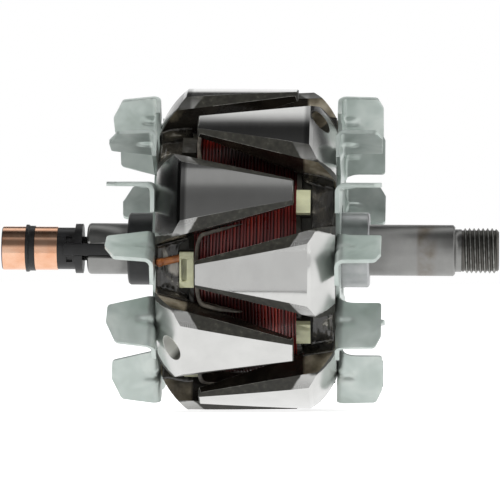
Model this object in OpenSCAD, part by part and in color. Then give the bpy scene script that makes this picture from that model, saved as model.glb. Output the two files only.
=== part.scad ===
/* [Shaft] */
// Diameter of the two bearing seats
journal_d = 17; // [15:0.5:17.5]
// Diameter of the knurled middle that carries poles, collar and spacer
knurl_d = 18; // [18:0.5:20]
// Length of the bearing seat at the drive end
drive_seat_length = 27.7; // [20:0.1:36]
// Length of the bearing seat at the slip ring end
slip_seat_length = 13.7; // [10:0.1:20]
// Corner chamfer at the outer end of the drive end seat
seat_chamfer = 0.7; // [0.3:0.1:1]
// Rounding at the outer end of the slip ring end seat
seat_round = 1.3; // [0.5:0.1:2]
// Diameter of the run-out groove between seat and thread
thread_neck_d = 14.2; // [12:0.1:14.4]
// Length of the run-out groove
thread_neck_length = 2.3; // [1:0.1:4]
// Outside diameter of the pulley thread
thread_d = 15; // [14.5:0.1:16]
// Length of the pulley thread
thread_length = 12.25; // [10:0.05:20]
// Chamfer at the end of the pulley thread
thread_chamfer = 1.2; // [0.5:0.1:2]
// Mouth diameter of the centre drilled in the threaded end
centre_d = 5; // [2:0.5:7]
// Diameter of the spigot inside the slip ring moulding
spigot_d = 8; // [6:0.5:9]

/* [Claw poles] */
// Turned outside diameter of the rotor
pole_od = 107; // [105:0.5:112]
// Distance from the mid-plane to each pole's end face
pole_half_length = 29.3; // [28:0.1:34]
// Thickness of each pole's end wall
pole_wall = 11; // [9:0.5:12]
// Diameter of the iron core inside the winding
core_d = 48; // [40:1:52]
// Radial depth of the valleys between the claw roots
valley_depth = 14.5; // [13.5:0.5:16.5]
// Number of claws on each pole
claw_count = 6; // [5:1:6]
// Distance that a claw tip reaches past the mid-plane
claw_reach = 16; // [12:0.5:17]
// Width of a claw at its tip
claw_tip_width = 9.4; // [8:0.2:11]
// Width of a claw at the end face, measured at the outside diameter
claw_root_width = 35.6; // [33:0.2:38]
// Draft that turns a claw's flanks towards the radius
claw_draft = 15; // [10:0.5:18]
// Radial thickness of a claw at its tip
claw_tip_thickness = 3; // [2:0.25:5]
// Radial thickness of a claw at its root
claw_root_thickness = 11.5; // [10:0.5:11.5]
// Chamfer on the outside edge of a claw's tip
claw_tip_chamfer = 0.4; // [0.3:0.1:0.9]
// Corner cut on both sides of a claw's tip
claw_tip_corner = 1.3; // [1:0.1:2]
// Depth of the bevel along a claw's long edges, at the tip
claw_bevel_tip = 1; // [0.5:0.1:1.5]
// Depth of the bevel along a claw's long edges, at the shoulder
claw_bevel_root = 2.5; // [1:0.1:3]
// Length of the domed shoulder along the shaft, up to the end face
shoulder_length = 8.7; // [7:0.1:9]
// Radius of the domed shoulder
shoulder_radius = 28; // [26:1:34]
// Slope of the shoulder where it leaves the outside
shoulder_slope = 38; // [34:1:40]
// Diameter of the balance drillings in the shoulders
balance_hole_d = 8.5; // [5:0.5:9]
// Depth of the balance drillings
balance_hole_depth = 4.5; // [2:0.5:6]

/* [Field coil] */
// Wall of the bobbin's tube
bobbin_wall = 1.2; // [0.8:0.1:2]
// Thickness of the bobbin's flanges
flange_thickness = 1.6; // [1:0.1:2.5]
// Radial clearance between the bobbin's flanges and the claws
flange_clearance = 0.6; // [0.4:0.1:2]
// Radial clearance between the winding and the claws
winding_clearance = 1; // [0.5:0.1:6]
// Height of the bobbin's lugs over the valley floor
lug_height = 5; // [3.5:0.5:7]
// Width of a bobbin lug
lug_width = 8; // [5:0.5:9]
// Width of the two lugs that hold the coil's ends
terminal_width = 11.7; // [9:0.1:12]
// Length that a lug stands out over the pole's end wall
lug_length = 2.9; // [2:0.1:5]
// Thickness of the resin soaked film in the valleys
film_thickness = 0.8; // [0.4:0.1:1.5]
// Distance from the film's outer edge to the end face
film_setback = 1.5; // [0.5:0.1:4]
// Outside diameter of a sleeved coil lead
lead_d = 3; // [2:0.2:3.2]

/* [Fans] */
// Outside diameter of both fans
fan_od = 104; // [98:0.5:105]
// Thickness of the fan sheet
fan_sheet = 1.35; // [1:0.05:1.6]
// Diameter of the fans' centre hole
fan_bore = 30; // [28:0.5:36]
// Diameter of the fans' plain middle
fan_hub_d = 68; // [64:0.5:69]
// Diameter on which the blades begin
blade_start_d = 72; // [70:0.5:74]
// Angle that a blade trails from its outer to its inner end
blade_sweep = 13.3; // [10:0.1:16]
// Width of the flat arm that carries a blade
arm_width = 9.7; // [8:0.1:10.5]
// Radius inside the bend between arm and blade
bend_radius = 1.65; // [1:0.05:2]
// Corner radius of the blades
blade_corner = 0.8; // [0.4:0.1:1]
// Width of the dart pressed into each bend, on the outside
dart_width = 3.2; // [2:0.1:3.6]
// Reach of the dart beyond the bend
dart_reach = 2; // [1:0.1:3]
// Height of the slip ring end blades over the pole's face
slip_blade_height = 16.2; // [14:0.1:18]
// Height of the drive end blades over the pole's face
drive_blade_height = 15; // [13:0.1:18]

/* [Slip rings and lead channels] */
// Outside diameter of the slip rings
ring_d = 14.5; // [13.5:0.1:15]
// Radial thickness of a slip ring
ring_thickness = 1.2; // [0.8:0.1:1.6]
// Width of the outer slip ring
outer_ring_width = 7.7; // [5:0.1:10]
// Width of the inner slip ring
inner_ring_width = 7.6; // [5:0.1:10]
// Width of the divider between the slip rings
divider_width = 3; // [2:0.1:5]
// Width of the divider's lip
divider_lip_width = 0.8; // [0.4:0.1:1.2]
// Width of the slope beside the divider's lip
divider_slope_width = 0.5; // [0.2:0.1:0.7]
// Diameter of the divider's lip
divider_d = 15.8; // [15.4:0.1:16.5]
// Diameter of the divider beside its lip
divider_waist_d = 15; // [15:0.1:15.4]
// Diameter of the moulding between the rings and its flange
moulding_d = 13.9; // [13:0.1:14.5]
// Length of the moulding between the rings and its flange
moulding_body_length = 6; // [4:0.1:9]
// Diameter of the moulding's flange
moulding_flange_d = 16.5; // [15:0.1:17]
// Width of the moulding's flange
moulding_flange_width = 2.4; // [1.5:0.1:4]
// Space between the flange and the bearing seat
moulding_space = 1.6; // [0.5:0.1:3]
// Length of the lip that holds the outer ring
end_lip = 0.25; // [0.2:0.05:1]
// Thickness of the moulding's closed end
moulding_end_wall = 2; // [1:0.5:4]
// Width of a lead channel
channel_width = 4; // [3:0.1:4.5]
// Depth of a lead channel below the bearing seat
channel_depth = 2.3; // [1.5:0.1:2.4]
// Distance that a lead channel lies below the bearing seat's surface
channel_sink = 0.35; // [0.3:0.05:0.6]
// Length of a lead channel on the moulding's body
channel_overlap = 3.8; // [2:0.1:3.9]
// Length and width of the pockets beside a lead channel on the moulding's body
pocket_size = 2; // [1:0.1:2.5]
// Depth of the pockets beside a lead channel
pocket_depth = 0.8; // [0.4:0.1:1.2]

/* [Collar and spacer] */
// Outside diameter of the insulating collar
collar_d = 24; // [22:0.5:27]
// Length of the insulating collar
collar_length = 11.2; // [8:0.1:14]
// Outside diameter of the drive end spacer
spacer_d = 25; // [22:0.5:27]
// Length of the drive end spacer
spacer_length = 10.5; // [8:0.1:14]
// Edge chamfer of the collar and the spacer
ring_chamfer = 0.6; // [0.3:0.1:1]

/* [Hidden] */
$fn = 96;

// Clearance of pressed and nested round fits
fit_gap = 0.1;
// Clearance of soft pieces beside iron
loose_gap = 0.3;
// Extra length of cutting shapes
cut_over = 1;

// Angles about the shaft, from +Y towards +Z
claw_pitch = 360 / claw_count;
drive_claw_angle = 9;
slip_claw_angle = drive_claw_angle + claw_pitch / 2;
start_lead_valley = floor(claw_count / 2);
start_lead_angle = drive_claw_angle + start_lead_valley * claw_pitch;
finish_lead_angle = drive_claw_angle;
front_channel_angle = start_lead_angle - 6;
rear_channel_angle = front_channel_angle + 180;
drive_balance_angle = drive_claw_angle + 2 * claw_pitch - 6.1;
slip_balance_angle = slip_claw_angle + 3 * claw_pitch + 1;
// Uneven blade spacing, which keeps the fans quiet
slip_blade_angles = [25, 55, 102, 131, 155.5, 183.5, 217.7, 262, 292, 330, 359];
drive_blade_angles = [24, 53, 102, 131, 155.5, 183.5, 217.7, 258, 290, 330, 359];

// Stations along the shaft, measured from the mid-plane
end_z = pole_half_length;
inner_z = end_z - pole_wall;
collar_z = end_z + collar_length;
slip_seat_z = collar_z + slip_seat_length;
flange_z = slip_seat_z + moulding_space;
body_z = flange_z + moulding_flange_width;
inner_ring_z = body_z + moulding_body_length;
divider_z = inner_ring_z + inner_ring_width;
outer_ring_z = divider_z + divider_width;
lip_z = outer_ring_z + outer_ring_width;
slip_end_z = lip_z + end_lip;
spacer_z = end_z + spacer_length;
drive_seat_z = spacer_z + drive_seat_length;
neck_z = drive_seat_z + seat_chamfer;
thread_z = neck_z + thread_neck_length;
drive_end_z = thread_z + thread_length;

// Radii
journal_r = journal_d / 2;
knurl_r = knurl_d / 2;
pole_r = pole_od / 2;
valley_r = pole_r - valley_depth;
claw_underside_r = pole_r - claw_root_thickness;
core_r = core_d / 2;
spigot_r = spigot_d / 2;
ring_seat_r = ring_d / 2 - ring_thickness;
moulding_r = moulding_d / 2;
bobbin_bore_r = core_r + fit_gap;
bobbin_tube_r = bobbin_bore_r + bobbin_wall;
channel_floor_r = journal_r - channel_depth;
channel_top_r = min(journal_r, knurl_r) - channel_sink;
pocket_wall = 0.4;

// Claw
claw_slope = (claw_root_width - claw_tip_width) / 2 / (end_z + claw_reach);
claw_root_overlap = 3;
claw_bevel_turn = 45;
shoulder_z = end_z - shoulder_length;
shoulder_centre = [pole_r, shoulder_z] - shoulder_radius * [cos(shoulder_slope), sin(shoulder_slope)];
shoulder_end_slope = asin((end_z - shoulder_centre.y) / shoulder_radius);
balance_hole_slope = 48;

// Bobbin
flange_outer_z = inner_z - fit_gap;
flange_inner_z = flange_outer_z - flange_thickness;
flange_r = claw_underside_r - flange_clearance;
winding_r = claw_underside_r - winding_clearance;
lug_z = inner_z + lug_length;
lug_r = valley_r + lug_height;
lug_floor_r = valley_r + loose_gap;
lug_root = 2;
lug_side_gap = 0.5;
terminal_slot_length = 5.8;
terminal_slot_width = 1.8;
terminal_slot_depth = 1;
terminal_slot_margin = 0.6;

// Lead groove in the slip ring end pole's face
lead_clear = 0.2;
groove_size = lead_d + 2 * lead_clear;
lead_z = end_z - groove_size / 2;
lead_valley_r = valley_r + loose_gap + lead_d / 2;
lead_start_r = lead_valley_r + 1.2;
lead_start_offset = -3.6;
lead_groove_offset = -1.9;
lead_span = lead_groove_offset - lead_start_offset + groove_size;
lead_bare_d = lead_d - 2 * lead_clear;

// Fan blade
fan_r = fan_od / 2;
bend_outer = bend_radius + fan_sheet;
blade_start_x = blade_start_d / 2 * cos(blade_sweep);
blade_start_y = -blade_start_d / 2 * sin(blade_sweep);
blade_chord = norm([fan_r - blade_start_x, blade_start_y]);
blade_turn = atan2(-blade_start_y, fan_r - blade_start_x);
arm_root = (blade_start_d - fan_hub_d) / 2 + 6;
// Dart pressed into the bend, measured along the bend's diagonal
dart_r = dart_width / 2;
dart_axis = (bend_outer + dart_reach) / sqrt(2) - dart_r;
dart_web = 0.9 * fan_sheet;
// Slip ring end blade: leaning inner end, slightly rising top, cut outer corner
slip_blade_lean = 3.9;
slip_blade_rise = 0.3;
slip_blade_top_end = 10;
slip_blade_outer_drop = 3.3;
slip_blade_outer_lean = 1.7;
// Drive end blade: scooped inner end, level top, cut outer corner
drive_blade_scoop = 2.6;
drive_blade_scoop_height = 5;
drive_blade_outer_drop = 2;
drive_blade_outer_run = 4.6;
drive_blade_outer_lean = 0.4;

slip_blade_outline = concat(
    [[0, 0]],
    rounded_point(
        [0, 0],
        [slip_blade_lean, slip_blade_height - slip_blade_rise],
        [slip_blade_top_end, slip_blade_height]
    ),
    [[slip_blade_top_end, slip_blade_height]],
    rounded_point(
        [slip_blade_top_end, slip_blade_height],
        [blade_chord - slip_blade_outer_lean, slip_blade_height - slip_blade_outer_drop],
        [blade_chord, 0]
    ),
    [[blade_chord, 0]]
);
drive_blade_outline = concat(
    [[0, 0]],
    [
        for (point = arc_points([0, 1], 1, -90, 0, 6))
            [drive_blade_scoop * point.x, fan_sheet + drive_blade_scoop_height * point.y]
    ],
    rounded_point(
        [drive_blade_scoop, 0],
        [drive_blade_scoop, drive_blade_height],
        [blade_chord - drive_blade_outer_run, drive_blade_height]
    ),
    rounded_point(
        [drive_blade_scoop, drive_blade_height],
        [blade_chord - drive_blade_outer_run, drive_blade_height],
        [blade_chord - drive_blade_outer_lean, drive_blade_height - drive_blade_outer_drop]
    ),
    [
        [blade_chord - drive_blade_outer_lean, drive_blade_height - drive_blade_outer_drop],
        [blade_chord, 0]
    ]
);

// Points on an arc, as a list
function arc_points(centre, radius, from, to, steps) = [
    for (i = [0 : steps])
        let (angle = from + (to - from) * i / steps)
        centre + radius * [cos(angle), sin(angle)]
];

// Arc in place of a blade's corner, from the line before it to the line after it
function rounded_point(before, corner, after) =
    let (into = (corner - before) / norm(corner - before))
    let (away = (after - corner) / norm(after - corner))
    let (turn = atan2(into.x * away.y - into.y * away.x, into * away))
    let (start = corner - blade_corner * tan(abs(turn) / 2) * into)
    let (centre = start + blade_corner * sign(turn) * [-into.y, into.x])
    let (first_angle = atan2(start.y - centre.y, start.x - centre.x))
    arc_points(centre, blade_corner, first_angle, first_angle + turn, 4);

// Half the width of a claw at a station, measured at the outside diameter
function claw_half_width(z) = claw_tip_width / 2 + (z + claw_reach) * claw_slope;

// Point on a claw's flank at a station, a depth below the claw's outside edge
function flank_point(z, depth) =
    let (x = sqrt(pow(pole_r, 2) - pow(claw_half_width(z), 2)) - depth)
    [x, claw_half_width(z) - (pole_r - x) * tan(claw_draft), z];

// Turns the local axis, which points up, onto the shaft's axis
module on_shaft() {
    rotate([90, 0, 90])
        children();
}

// Turns a piece drawn at the drive end to the slip ring end
module at_slip_end() {
    on_shaft()
        mirror([0, 0, 1])
            children();
}

// Copies a piece around the shaft
module around(count, first_angle) {
    for (i = [0 : count - 1])
        rotate(first_angle + i * 360 / count)
            children();
}

// Ring with chamfered edges, from one station to the next
module chamfered_ring(outer_d, bore_d, from_z, to_z) {
    rotate_extrude()
        polygon([
            [bore_d / 2, from_z],
            [outer_d / 2 - ring_chamfer, from_z],
            [outer_d / 2, from_z + ring_chamfer],
            [outer_d / 2, to_z - ring_chamfer],
            [outer_d / 2 - ring_chamfer, to_z],
            [bore_d / 2, to_z]
        ]);
}

// Space outside a plane that holds two points and a direction
module beyond(from, to, along) {
    normal = cross(to - from, along);
    translate(from)
        rotate([0, acos(normal.z / norm(normal)), atan2(normal.y, normal.x)])
            translate([-pole_od, -pole_od, 0])
                cube([2 * pole_od, 2 * pole_od, pole_od]);
}

// One claw's flanks and tip corners, as a tapered block with room added on both sides
module claw_block(room) {
    tip = [pole_r, claw_half_width(-claw_reach) + room, -claw_reach];
    root = [pole_r, claw_half_width(end_z) + room, end_z];
    corner_z = claw_tip_corner - claw_reach;
    corner_tip = [0, tip.y - 2 * claw_tip_corner, -claw_reach - claw_tip_corner];
    corner_root = [0, claw_half_width(corner_z) + room, corner_z];
    difference() {
        translate([0, -pole_r, -claw_reach - cut_over])
            cube([pole_r + cut_over, pole_od, end_z + claw_reach + 2 * cut_over]);
        for (side = [0, 1])
            mirror([0, side, 0]) {
                beyond(tip, root, [1, tan(claw_draft), 0]);
                beyond(corner_tip, corner_root, [1, 0, 0]);
            }
    }
}

// One claw's sides: the tapered block without the bevels along its two long edges
module claw_sides() {
    tip = flank_point(-claw_reach, claw_bevel_tip);
    root = flank_point(shoulder_z, claw_bevel_root);
    difference() {
        claw_block(0);
        for (side = [0, 1])
            mirror([0, side, 0])
                beyond(tip, root, [cos(claw_bevel_turn), -sin(claw_bevel_turn), 0]);
    }
}

// Section through a claw, from its root over the shoulder to the thin tip
module claw_section() {
    polygon(concat(
        [
            [valley_r - claw_root_overlap, inner_z],
            [claw_underside_r, inner_z],
            [pole_r - claw_tip_thickness, -claw_reach],
            [pole_r - claw_tip_chamfer, -claw_reach],
            [pole_r, claw_tip_chamfer - claw_reach]
        ],
        arc_points(shoulder_centre, shoulder_radius, shoulder_slope, shoulder_end_slope, 8),
        [[valley_r - claw_root_overlap, end_z]]
    ));
}

// One forged pole: half the core, the end wall and the claws
module claw_pole(first_angle) {
    difference() {
        union() {
            cylinder(r = core_r, h = inner_z + cut_over);
            translate([0, 0, inner_z])
                cylinder(r = valley_r, h = pole_wall);
            intersection() {
                rotate_extrude()
                    claw_section();
                around(claw_count, first_angle)
                    claw_sides();
            }
        }
        translate([0, 0, -cut_over])
            cylinder(r = knurl_r + fit_gap, h = end_z + 2 * cut_over);
    }
}

// Balance drilling, square to the shoulder
module balance_drilling(angle) {
    rotate(angle)
        translate([shoulder_centre.x, 0, shoulder_centre.y])
            rotate([0, 90 - balance_hole_slope, 0])
                translate([0, 0, shoulder_radius - balance_hole_depth])
                    cylinder(d = balance_hole_d, h = balance_hole_depth + shoulder_length);
}

// Groove for a coil lead, in the pole's end face
module lead_groove(angle) {
    rotate(angle)
        translate([0, lead_groove_offset - groove_size / 2, end_z - groove_size])
            cube([valley_r + cut_over, groove_size, groove_size + cut_over]);
}

// Room for a coil lead where it crosses the valley
module lead_room(angle) {
    inner_r = lead_valley_r - lead_d / 2 - lead_clear;
    outer_r = lead_start_r + lead_d / 2 + lead_clear;
    rotate(angle)
        translate([inner_r, lead_start_offset - groove_size / 2, lug_z])
            cube([outer_r - inner_r, lead_span, end_z + cut_over - lug_z]);
}

// Slot for a lead channel, along the shaft
module channel_slot(angle, from_z, to_z) {
    slot_width = channel_width + 2 * fit_gap;
    rotate(angle)
        translate([channel_floor_r, -slot_width / 2, from_z])
            cube([knurl_r, slot_width, to_z - from_z]);
}

// Ground steel shaft: bearing seats, knurled middle, pulley thread and spigot
module shaft() {
    color("#9a9a97")
        on_shaft()
            difference() {
                rotate_extrude()
                    polygon(concat(
                        [
                            [0, moulding_end_wall + fit_gap - slip_end_z],
                            [spigot_r, moulding_end_wall + fit_gap - slip_end_z],
                            [spigot_r, -slip_seat_z],
                            [journal_r - seat_round, -slip_seat_z]
                        ],
                        arc_points([journal_r - seat_round, seat_round - slip_seat_z], seat_round, -60, 0, 4),
                        [
                            [journal_r, -collar_z],
                            [knurl_r, -collar_z],
                            [knurl_r, spacer_z],
                            [journal_r, spacer_z],
                            [journal_r, drive_seat_z],
                            [journal_r - seat_chamfer, neck_z],
                            [thread_neck_d / 2, neck_z],
                            [thread_neck_d / 2, thread_z],
                            [thread_d / 2, thread_z],
                            [thread_d / 2, drive_end_z - thread_chamfer],
                            [thread_d / 2 - thread_chamfer, drive_end_z],
                            [centre_d / 2, drive_end_z],
                            [0, drive_end_z - centre_d / 2 / tan(30)]
                        ]
                    ));
                for (angle = [front_channel_angle, rear_channel_angle])
                    channel_slot(angle, -slip_seat_z - cut_over, groove_size - end_z);
            }
}

// Claw pole at the slip ring end, with grooves for the coil leads
module slip_ring_end_pole() {
    color("#8d908e")
        at_slip_end()
            difference() {
                claw_pole(slip_claw_angle);
                for (angle = [start_lead_angle, finish_lead_angle]) {
                    lead_groove(angle);
                    lead_room(angle);
                }
                balance_drilling(slip_balance_angle);
            }
}

// Claw pole at the drive end
module drive_end_pole() {
    color("#a3a6a4")
        on_shaft()
            difference() {
                claw_pole(drive_claw_angle);
                balance_drilling(drive_balance_angle);
            }
}

// Lug that keys the bobbin into a valley of the pole, clear of the claws beside it
module bobbin_lug(width) {
    difference() {
        intersection() {
            union() {
                translate([flange_r - lug_root, -width / 2, flange_inner_z])
                    cube([lug_r, width, flange_thickness]);
                translate([lug_floor_r, -width / 2, flange_inner_z])
                    cube([lug_r, width, lug_z - flange_inner_z]);
            }
            cylinder(r = lug_r, h = end_z);
        }
        for (side = [-1, 1])
            rotate(side * claw_pitch / 2)
                claw_block(lug_side_gap);
    }
}

// Lug that holds a coil end, with a long recess in its top
module terminal_lug() {
    slot_z = lug_z - terminal_slot_width / 2 - terminal_slot_margin;
    difference() {
        bobbin_lug(terminal_width);
        translate([lug_r - terminal_slot_depth - terminal_slot_width / 2, 0, slot_z])
            rotate([0, 90, 0]) {
                for (side = [-1, 1])
                    translate([0, side * terminal_slot_length / 2, 0])
                        cylinder(d = terminal_slot_width, h = lug_r);
                translate([-terminal_slot_width / 2, -terminal_slot_length / 2, 0])
                    cube([terminal_slot_width, terminal_slot_length, lug_r]);
            }
    }
}

// Moulded bobbin: tube, two flanges and the lugs between the claw roots
module coil_bobbin() {
    color("#c9c8a4")
        on_shaft() {
            rotate_extrude()
                polygon([
                    [bobbin_bore_r, -flange_outer_z],
                    [flange_r, -flange_outer_z],
                    [flange_r, -flange_inner_z],
                    [bobbin_tube_r, -flange_inner_z],
                    [bobbin_tube_r, flange_inner_z],
                    [flange_r, flange_inner_z],
                    [flange_r, flange_outer_z],
                    [bobbin_bore_r, flange_outer_z]
                ]);
            around(claw_count, slip_claw_angle)
                bobbin_lug(lug_width);
            mirror([0, 0, 1]) {
                for (i = [1 : claw_count - 1])
                    if (i != start_lead_valley)
                        rotate(drive_claw_angle + i * claw_pitch)
                            bobbin_lug(lug_width);
                rotate(start_lead_angle)
                    terminal_lug();
                rotate(finish_lead_angle)
                    terminal_lug();
            }
        }
}

// Enamelled wire winding, as one ring
module field_winding() {
    color("#6e1512")
        on_shaft()
            rotate_extrude()
                polygon([
                    [bobbin_tube_r + fit_gap, -flange_inner_z],
                    [winding_r, -flange_inner_z],
                    [winding_r, flange_inner_z],
                    [bobbin_tube_r + fit_gap, flange_inner_z]
                ]);
}

// Resin soaked film on the valley floors of one pole
module valley_film(first_claw_angle, first_lug_angle, room_width) {
    difference() {
        rotate_extrude()
            translate([valley_r + fit_gap, inner_z])
                square([film_thickness, pole_wall - film_setback]);
        around(claw_count, first_claw_angle)
            claw_block(fit_gap);
        around(claw_count, first_lug_angle)
            translate([0, -room_width / 2 - loose_gap, 0])
                cube([pole_r, room_width + 2 * loose_gap, lug_z + loose_gap]);
    }
}

// Insulation in the valleys at the slip ring end, open for the coil leads
module slip_ring_end_insulation() {
    color("#3a352d")
        at_slip_end()
            difference() {
                valley_film(slip_claw_angle, drive_claw_angle, terminal_width);
                for (angle = [start_lead_angle, finish_lead_angle])
                    rotate(angle)
                        translate([0, lead_start_offset - groove_size / 2 - loose_gap, 0])
                            cube([pole_r, lead_span + 2 * loose_gap, end_z]);
            }
}

// Insulation in the valleys at the drive end
module drive_end_insulation() {
    color("#443f36")
        on_shaft()
            valley_film(drive_claw_angle, slip_claw_angle, lug_width);
}

// Straight round rod between two points
module rod(from, to, d) {
    run = to - from;
    translate(from)
        rotate([0, acos(run.z / norm(run)), atan2(run.y, run.x)])
            cylinder(d = d, h = norm(run));
}

// Coil lead: sleeved from its lug over the valley, bare along the groove
module coil_lead() {
    lug_end = [lead_start_r, lead_start_offset, lug_z + fit_gap];
    corner = [lead_valley_r, lead_groove_offset, lead_z];
    shaft_end = [knurl_r + lead_d / 2, lead_groove_offset, lead_z];
    rod(lug_end, corner, lead_d);
    rod(corner, shaft_end, lead_bare_d);
    translate(corner)
        sphere(d = lead_d + fit_gap);
}

// Lead from the start of the winding
module start_lead() {
    color("#96552a")
        at_slip_end()
            rotate(start_lead_angle)
                coil_lead();
}

// Lead from the finish of the winding
module finish_lead() {
    color("#8a4f28")
        at_slip_end()
            rotate(finish_lead_angle)
                coil_lead();
}

// Places a blade's own axes: along the chord, across it and up
module at_blade(angle) {
    rotate(angle)
        translate([blade_start_x, blade_start_y, end_z])
            rotate(blade_turn)
                children();
}

// Rounded corner region used for both faces of the bend
module rounded_corner(radius, width, height) {
    difference() {
        square([width, height]);
        difference() {
            square(radius);
            translate([radius, radius])
                circle(radius);
        }
    }
}

// Section of the sheet across the bend: a short foot and the upright blade
module bend_section(height) {
    foot = bend_outer + cut_over;
    difference() {
        rounded_corner(bend_outer, foot, height);
        translate([fan_sheet, fan_sheet])
            rounded_corner(bend_radius, foot, height);
    }
}

// Upright blade, cut to its outline
module blade(outline, height) {
    intersection() {
        translate([-cut_over, 0, 0])
            rotate([90, 0, 90])
                linear_extrude(blade_chord + 2 * cut_over)
                    bend_section(height + cut_over);
        translate([0, bend_outer + 2 * cut_over, 0])
            rotate([90, 0, 0])
                linear_extrude(bend_outer + 3 * cut_over)
                    polygon(outline);
    }
}

// Places a shape along the bend's diagonal, at the middle of the chord
module at_dart() {
    translate([blade_chord / 2, 0, 0])
        rotate([45, 0, 0])
            linear_extrude(4 * bend_outer + 4 * dart_reach, center = true)
                children();
}

// Raised inside of the dart pressed into the bend
module dart_rise() {
    rise_r = dart_r + dart_web;
    intersection() {
        at_dart()
            polygon(arc_points([0, dart_axis], rise_r, 180, 0, 10));
        translate([0, fan_sheet / 2, fan_sheet / 2])
            cube([blade_chord, 2 * (bend_outer + dart_reach), 2 * (bend_outer + dart_reach)]);
    }
}

// Hollow that the dart leaves on the outside of the bend
module dart_hollow() {
    at_dart()
        polygon(concat(
            [[-dart_r, -cut_over]],
            arc_points([0, dart_axis], dart_r, 180, 0, 8),
            [[dart_r, -cut_over]]
        ));
}

// Stamped fan: plain middle, flat arms and bent blades with darts
module fan(angles, outline, height) {
    difference() {
        union() {
            translate([0, 0, end_z])
                cylinder(d = fan_hub_d, h = fan_sheet);
            for (angle = angles)
                at_blade(angle) {
                    translate([-arm_root, bend_outer, 0])
                        cube([blade_chord + arm_root, arm_width - bend_outer, fan_sheet]);
                    blade(outline, height);
                    dart_rise();
                }
        }
        for (angle = angles)
            at_blade(angle)
                dart_hollow();
        translate([0, 0, end_z - cut_over])
            cylinder(d = fan_bore, h = fan_sheet + 2 * cut_over);
    }
}

// Zinc plated fan at the slip ring end
module slip_ring_end_fan() {
    color("#a9b6ad")
        at_slip_end()
            fan(slip_blade_angles, slip_blade_outline, slip_blade_height);
}

// Zinc plated fan at the drive end
module drive_end_fan() {
    color("#b1bdb4")
        on_shaft()
            fan(drive_blade_angles, drive_blade_outline, drive_blade_height);
}

// Insulating collar over the coil leads
module lead_collar() {
    color("#2b2b2d")
        at_slip_end()
            chamfered_ring(collar_d, knurl_d + 2 * fit_gap, end_z, collar_z);
}

// Steel spacer between the drive end pole and its bearing
module drive_end_spacer() {
    color("#8b8d8c")
        on_shaft()
            chamfered_ring(spacer_d, knurl_d + 2 * fit_gap, end_z, spacer_z);
}

// Two small pockets beside a lead channel, in the moulding's body
module channel_pockets(angle) {
    aside = asin((channel_width / 2 + pocket_wall + pocket_size / 2) / moulding_r);
    for (side = [-1, 1])
        rotate(angle + side * aside)
            translate([moulding_r, 0, body_z + pocket_size])
                cube([2 * pocket_depth, pocket_size, pocket_size], center = true);
}

// Moulding that carries both slip rings, with its divider, flange and channel slots
module slip_ring_moulding() {
    color("#2d2d30")
        at_slip_end()
            difference() {
                rotate_extrude()
                    polygon([
                        [spigot_r + fit_gap, flange_z],
                        [moulding_flange_d / 2, flange_z],
                        [moulding_flange_d / 2, body_z],
                        [moulding_r, body_z],
                        [moulding_r, inner_ring_z],
                        [ring_seat_r, inner_ring_z],
                        [ring_seat_r, divider_z],
                        [divider_waist_d / 2, divider_z],
                        [divider_waist_d / 2, outer_ring_z - divider_lip_width - divider_slope_width],
                        [divider_d / 2, outer_ring_z - divider_lip_width],
                        [divider_d / 2, outer_ring_z],
                        [ring_seat_r, outer_ring_z],
                        [ring_seat_r, lip_z],
                        [moulding_r, lip_z],
                        [moulding_r, slip_end_z],
                        [0, slip_end_z],
                        [0, slip_end_z - moulding_end_wall],
                        [spigot_r + fit_gap, slip_end_z - moulding_end_wall]
                    ]);
                for (angle = [front_channel_angle, rear_channel_angle]) {
                    channel_slot(angle, flange_z - cut_over, body_z + channel_overlap + fit_gap);
                    channel_pockets(angle);
                }
            }
}

// Copper slip ring between two stations
module slip_ring(from_z, to_z) {
    color("#c98a62")
        at_slip_end()
            rotate_extrude()
                translate([ring_seat_r + fit_gap, from_z])
                    square([ring_thickness - fit_gap, to_z - from_z]);
}

// Slip ring at the moulding's free end
module outer_slip_ring() {
    slip_ring(outer_ring_z, lip_z);
}

// Slip ring beside the moulding's body
module inner_slip_ring() {
    slip_ring(inner_ring_z, divider_z);
}

// Insulated lead channel, laid in its slot from the moulding to the pole
module lead_channel(angle) {
    color("#262628")
        at_slip_end()
            intersection() {
                rotate(angle)
                    translate([channel_floor_r + fit_gap, -channel_width / 2, end_z])
                        cube([channel_depth, channel_width, body_z + channel_overlap - end_z]);
                cylinder(r = channel_top_r, h = slip_end_z);
            }
}

// Lead channel on the -Y side
module front_lead_channel() {
    lead_channel(front_channel_angle);
}

// Lead channel on the +Y side
module rear_lead_channel() {
    lead_channel(rear_channel_angle);
}

shaft();
slip_ring_end_pole();
drive_end_pole();
coil_bobbin();
field_winding();
slip_ring_end_insulation();
drive_end_insulation();
start_lead();
finish_lead();
slip_ring_end_fan();
drive_end_fan();
lead_collar();
drive_end_spacer();
slip_ring_moulding();
outer_slip_ring();
inner_slip_ring();
front_lead_channel();
rear_lead_channel();
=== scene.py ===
import math
from functools import partial

import bmesh
import bpy
from mathutils import Matrix, Vector, noise
from mathutils.geometry import interpolate_bezier


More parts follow.
